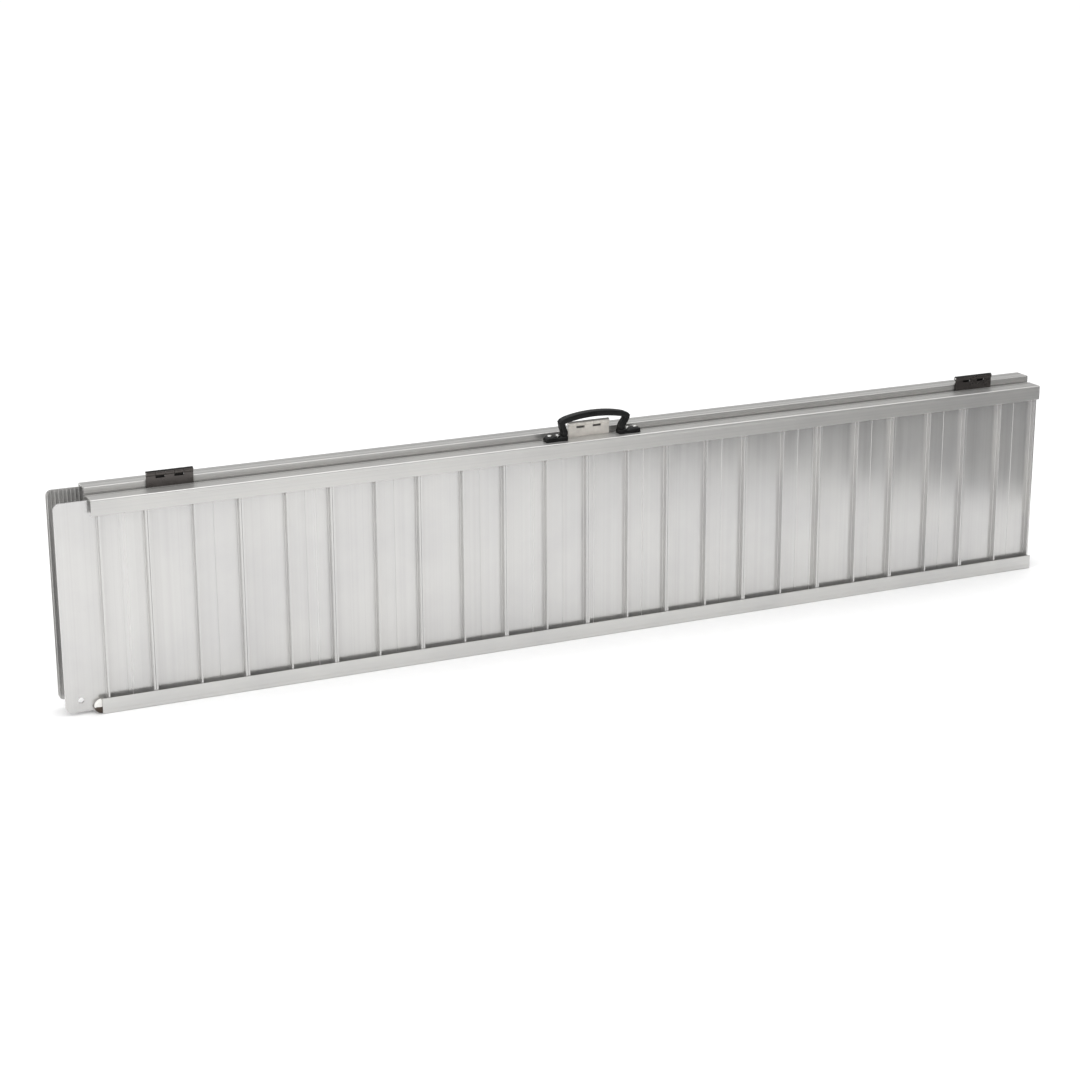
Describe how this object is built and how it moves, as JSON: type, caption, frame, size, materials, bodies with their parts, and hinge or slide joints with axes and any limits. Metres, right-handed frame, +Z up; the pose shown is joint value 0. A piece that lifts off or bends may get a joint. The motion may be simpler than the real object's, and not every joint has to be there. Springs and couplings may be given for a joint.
{
  "type": "portable wheelchair ramp",
  "caption": "Portable aluminium wheelchair ramp that folds in half along its length, with ribbed plank decks in U-channel rails, butt hinges on the fold and a black carry handle.",
  "frame": {"origin": "centre of the folded ramp's bounding box in plan, at the height of the floor it stands on", "axes": "+X along the ramp's length away from its lip, +Y across the folded thickness from the front half to the rear half, +Z up across the width of a half, from the side rails to the hinge line"},
  "size_m": [1.8244, 0.0726, 0.3963],
  "materials": {
    "mill_aluminium": "mill finish, fine extrusion lines",
    "dark_hinge_steel": "dark oxidised rolled steel",
    "bright_hinge_steel": "bright, warm zinc-plated steel",
    "zinc_fastener": "bright zinc plate",
    "black_plastic": "fine moulded texture, satin",
    "pale_plastic": "glossy, pale, with a dark brown sole"
  },
  "bodies": {
    "front_half": {"front_hinge_rail": "mill_aluminium", "front_side_rail": "mill_aluminium", "front_lip_plank": "mill_aluminium", "front_plank_02": "mill_aluminium", "front_plank_03": "mill_aluminium", "front_plank_04": "mill_aluminium", "front_plank_05": "mill_aluminium", "front_plank_06": "mill_aluminium", "front_plank_07": "mill_aluminium", "front_plank_08": "mill_aluminium", "front_plank_09": "mill_aluminium", "front_plank_10": "mill_aluminium", "front_plank_11": "mill_aluminium", "front_plank_12": "mill_aluminium", "front_rail_bumper": "pale_plastic", "hinge_left_front_leaf": "dark_hinge_steel", "hinge_left_front_rivet_1": "zinc_fastener", "hinge_left_front_rivet_2": "zinc_fastener", "hinge_centre_front_leaf": "bright_hinge_steel", "hinge_centre_front_rivet_1": "zinc_fastener", "hinge_centre_front_rivet_2": "zinc_fastener", "hinge_right_front_leaf": "dark_hinge_steel", "hinge_right_front_rivet_1": "zinc_fastener", "hinge_right_front_rivet_2": "zinc_fastener", "hinge_left_pin": "zinc_fastener", "hinge_centre_pin": "zinc_fastener", "hinge_right_pin": "zinc_fastener", "handle_grip": "black_plastic", "handle_foot_left": "black_plastic", "handle_foot_right": "black_plastic", "handle_screw_left_1": "zinc_fastener", "handle_screw_left_2": "zinc_fastener", "handle_screw_right_1": "zinc_fastener", "handle_screw_right_2": "zinc_fastener"},
    "rear_half": {"rear_hinge_rail": "mill_aluminium", "rear_side_rail": "mill_aluminium", "rear_lip_plank": "mill_aluminium", "rear_plank_02": "mill_aluminium", "rear_plank_03": "mill_aluminium", "rear_plank_04": "mill_aluminium", "rear_plank_05": "mill_aluminium", "rear_plank_06": "mill_aluminium", "rear_plank_07": "mill_aluminium", "rear_plank_08": "mill_aluminium", "rear_plank_09": "mill_aluminium", "rear_plank_10": "mill_aluminium", "rear_plank_11": "mill_aluminium", "rear_plank_12": "mill_aluminium", "rear_rail_bumper": "pale_plastic", "hinge_left_rear_leaf": "dark_hinge_steel", "hinge_left_rear_rivet_1": "zinc_fastener", "hinge_left_rear_rivet_2": "zinc_fastener", "hinge_centre_rear_leaf": "bright_hinge_steel", "hinge_centre_rear_rivet_1": "zinc_fastener", "hinge_centre_rear_rivet_2": "zinc_fastener", "hinge_right_rear_leaf": "dark_hinge_steel", "hinge_right_rear_rivet_1": "zinc_fastener", "hinge_right_rear_rivet_2": "zinc_fastener"}
  },
  "joints": [
    {"name": "fold", "type": "hinge", "parent": "front_half", "child": "rear_half", "pos_m": [0, 0, 0.3715], "axis": [1, 0, 0], "range_deg": [0, 180], "deforming": ["handle_grip"]}
  ]
}
